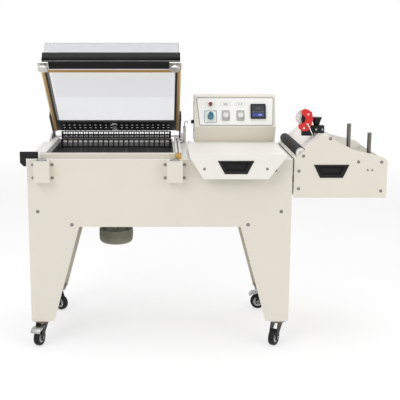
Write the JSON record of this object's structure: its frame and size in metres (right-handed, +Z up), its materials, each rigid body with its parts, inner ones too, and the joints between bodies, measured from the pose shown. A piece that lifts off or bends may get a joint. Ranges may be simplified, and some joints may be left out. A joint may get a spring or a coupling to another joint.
{
  "type": "l bar sealer",
  "caption": "Free-standing L bar sealer with a shrink chamber, hinged clear hood, sliding packing table, control console and a film unit with a hole punch.",
  "frame": {"origin": "on the floor, under the middle of the machine's box", "axes": "+X from the hood towards the film unit, +Y from the operator's side towards the back, +Z up"},
  "size_m": [1.623, 0.7194, 1.3629],
  "materials": {
    "cream_paint": "powder coated sheet steel",
    "white_paint": "powder coated sheet steel",
    "dark_paint": "black powder coat",
    "zinc_steel": "zinc plated",
    "bright_steel": "polished",
    "liner_steel": "aluminised sheet",
    "brass": "machined",
    "tape": "PTFE coated glass cloth",
    "pad_rubber": "silicone",
    "clear_hood": "clear acrylic",
    "black_plastic": "moulded, fine grain",
    "motor_paint": "painted casting",
    "label_white": "printed sheet",
    "red_lamp": "clear lens",
    "teal_plastic": "moulded",
    "grey_plastic": "moulded",
    "red_plastic": "moulded",
    "white_plastic": "moulded",
    "black_rubber": "matt",
    "tyre": "matt"
  },
  "bodies": {
    "frame": {"front_panel": "cream_paint", "rear_panel": "cream_paint", "side_panels": "cream_paint", "foot_plates": "zinc_steel", "deck_frame": "white_paint", "chamber_liner": "liner_steel", "rear_guards": "dark_paint", "product_tray": "dark_paint", "heater_elements": "zinc_steel", "fan_motor": "motor_paint", "lower_jaws": "zinc_steel", "seal_pads": "pad_rubber", "jaw_end_block": "brass", "magnet_housings": "cream_paint", "electromagnets": "zinc_steel", "body_screws": "zinc_steel", "hinge_posts": "zinc_steel", "hinge_shaft": "bright_steel", "lid_springs": "zinc_steel", "side_bracket": "dark_paint", "console_case": "cream_paint", "console_plates": "label_white", "power_lamp": "red_lamp", "temperature_controller": "black_plastic", "cable_gland": "black_plastic", "slide_rails": "zinc_steel"},
    "lid": {"lid_frame": "dark_paint", "lid_crossbars": "dark_paint", "seal_tape": "tape", "lid_handle_bar": "black_plastic", "hood": "clear_hood", "keepers": "zinc_steel"},
    "fan": {"fan_wheel": "zinc_steel"},
    "main_knob": {"main_switch_knob": "teal_plastic"},
    "time_knob": {"time_dial_knob": "grey_plastic"},
    "heat_knob": {"heat_dial_knob": "grey_plastic"},
    "table": {"platform_table": "cream_paint", "platform_cup_handle": "black_plastic"},
    "film_unit": {"film_front_plate": "cream_paint", "film_body": "cream_paint", "film_cup_handle": "black_plastic", "film_posts": "bright_steel", "film_screws": "zinc_steel", "perforator_base": "dark_paint", "perforator_cover": "red_plastic"},
    "punch": {"punch_wheel": "white_plastic"},
    "clamp_knob": {"perforator_knob": "black_plastic"},
    "guide": {"guide_roller": "black_rubber"},
    "roller_left": {"tray_roller_left": "bright_steel"},
    "roller_right": {"tray_roller_right": "bright_steel"},
    "fork_front_left": {"caster_fork_front_left": "dark_paint"},
    "wheel_front_left": {"caster_wheel_front_left": "tyre"},
    "fork_front_right": {"caster_fork_front_right": "dark_paint"},
    "wheel_front_right": {"caster_wheel_front_right": "tyre"},
    "fork_rear_left": {"caster_fork_rear_left": "dark_paint"},
    "wheel_rear_left": {"caster_wheel_rear_left": "tyre"},
    "fork_rear_right": {"caster_fork_rear_right": "dark_paint"},
    "wheel_rear_right": {"caster_wheel_rear_right": "tyre"},
    "pedal_front_left": {"brake_pedal_front_left": "zinc_steel"},
    "pedal_rear_right": {"brake_pedal_rear_right": "zinc_steel"}
  },
  "joints": [
    {"name": "lid_hinge", "type": "hinge", "parent": "frame", "child": "lid", "pos_m": [-0.1925, 0.31429, 0.8895], "axis": [1, 0, 0], "range_deg": [0, 36.4], "stiffness_Nm_per_rad": 40, "springref_deg": -74.48, "deforming": ["lid_springs"]},
    {"name": "table_slide", "type": "slide", "parent": "frame", "child": "table", "axis": [0, -1, 0], "range_m": [-0.036, 0.12]},
    {"name": "film_slide", "type": "slide", "parent": "frame", "child": "film_unit", "axis": [0, -1, 0], "range_m": [0, 0.15]},
    {"name": "fan_spin", "type": "hinge", "parent": "frame", "child": "fan", "pos_m": [-0.4035, -0.00771, 0.6], "axis": [0, 0, 1], "continuous": true},
    {"name": "main_switch_turn", "type": "hinge", "parent": "frame", "child": "main_knob", "pos_m": [0.0478, 0.0514, 1.01429], "axis": [0, -0.9272, 0.3746], "range_deg": [-90, 0]},
    {"name": "time_dial_turn", "type": "hinge", "parent": "frame", "child": "time_knob", "pos_m": [0.1197, 0.05327, 1.01892], "axis": [0, -0.9272, 0.3746], "range_deg": [-140, 140]},
    {"name": "heat_dial_turn", "type": "hinge", "parent": "frame", "child": "heat_knob", "pos_m": [0.1898, 0.05327, 1.01892], "axis": [0, -0.9272, 0.3746], "range_deg": [-140, 140]},
    {"name": "punch_wheel_spin", "type": "hinge", "parent": "film_unit", "child": "punch", "pos_m": [0.4505, -0.18571, 1.037], "axis": [0, 1, 0], "continuous": true},
    {"name": "guide_roller_spin", "type": "hinge", "parent": "film_unit", "child": "guide", "pos_m": [0.42848, -0.02771, 0.89115], "axis": [0, 1, 0], "continuous": true},
    {"name": "tray_roller_left_spin", "type": "hinge", "parent": "film_unit", "child": "roller_left", "pos_m": [0.6025, -0.02771, 0.752], "axis": [0, 1, 0], "continuous": true},
    {"name": "tray_roller_right_spin", "type": "hinge", "parent": "film_unit", "child": "roller_right", "pos_m": [0.7735, -0.02771, 0.752], "axis": [0, 1, 0], "continuous": true},
    {"name": "clamp_knob_turn", "type": "hinge", "parent": "film_unit", "child": "clamp_knob", "pos_m": [0.5115, -0.18271, 1.005], "axis": [0, 0, 1], "continuous": true},
    {"name": "swivel_front_left", "type": "hinge", "parent": "frame", "child": "fork_front_left", "pos_m": [-0.7335, -0.25971, 0.105], "axis": [0, 0, 1], "continuous": true},
    {"name": "wheel_spin_front_left", "type": "hinge", "parent": "fork_front_left", "child": "wheel_front_left", "pos_m": [-0.74503, -0.29381, 0.038], "axis": [-0.9474, 0.3201, 0], "continuous": true},
    {"name": "brake_front_left", "type": "hinge", "parent": "fork_front_left", "child": "pedal_front_left", "pos_m": [-0.74054, -0.28055, 0.086], "axis": [-0.9474, 0.3201, 0], "range_deg": [-8, 0]},
    {"name": "swivel_front_right", "type": "hinge", "parent": "frame", "child": "fork_front_right", "pos_m": [0.3485, -0.25971, 0.105], "axis": [0, 0, 1], "continuous": true},
    {"name": "wheel_spin_front_right", "type": "hinge", "parent": "fork_front_right", "child": "wheel_front_right", "pos_m": [0.33014, -0.29067, 0.038], "axis": [-0.8601, 0.5101, 0], "continuous": true},
    {"name": "swivel_rear_left", "type": "hinge", "parent": "frame", "child": "fork_rear_left", "pos_m": [-0.7335, 0.23929, 0.105], "axis": [0, 0, 1], "continuous": true},
    {"name": "wheel_spin_rear_left", "type": "hinge", "parent": "fork_rear_left", "child": "wheel_rear_left", "pos_m": [-0.7047, 0.21769, 0.038], "axis": [-0.6, -0.8, 0], "continuous": true},
    {"name": "swivel_rear_right", "type": "hinge", "parent": "frame", "child": "fork_rear_right", "pos_m": [0.3485, 0.23929, 0.105], "axis": [0, 0, 1], "continuous": true},
    {"name": "wheel_spin_rear_right", "type": "hinge", "parent": "fork_rear_right", "child": "wheel_rear_right", "pos_m": [0.3125, 0.23929, 0.038], "axis": [0, 1, 0], "continuous": true},
    {"name": "brake_rear_right", "type": "hinge", "parent": "fork_rear_right", "child": "pedal_rear_right", "pos_m": [0.3265, 0.23929, 0.086], "axis": [0, 1, 0], "range_deg": [-8, 0]}
  ]
}
